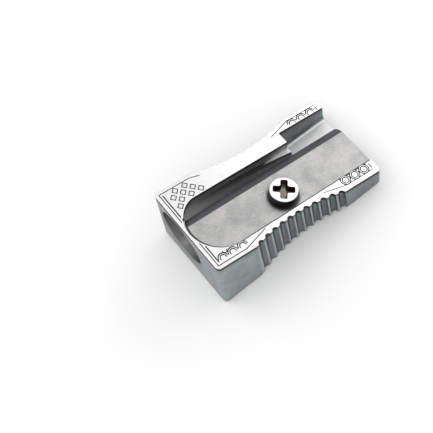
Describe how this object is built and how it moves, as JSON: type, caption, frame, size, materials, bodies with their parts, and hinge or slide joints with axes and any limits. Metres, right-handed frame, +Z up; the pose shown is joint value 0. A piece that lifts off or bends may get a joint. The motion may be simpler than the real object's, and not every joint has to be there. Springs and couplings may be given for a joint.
{
  "type": "pencil sharpener",
  "caption": "Wedge-shaped metal hand sharpener with a conical pencil hole, finger grooves, an engraved rim and a ground blade held by a cross-recess screw.",
  "frame": {"origin": "middle of the flat base", "axes": "+X from the entry face to the tip, +Y to the shavings window side, +Z up, away from the flat base"},
  "size_m": [0.0253, 0.0132, 0.0104],
  "materials": {
    "cast_body": "satin",
    "blade_steel": "brushed",
    "screw_steel": "polished"
  },
  "bodies": {
    "body": {"sharpener_body": "cast_body"},
    "blade": {"blade": "blade_steel"},
    "screw": {"blade_screw": "screw_steel"}
  },
  "joints": [
    {"name": "blade_lift", "type": "slide", "parent": "body", "child": "blade", "axis": [0.279, 0, 0.9603], "range_m": [0, 0.00405]},
    {"name": "screw_turn", "type": "hinge", "parent": "blade", "child": "screw", "pos_m": [0.00091, -0.00232, 0.00637], "axis": [0.279, 0, 0.9603], "range_deg": [0, 3240.5]}
  ],
  "couplings": [
    {"joint": "screw_turn", "follows": "blade_lift", "rad_per_m": 13963}
  ]
}
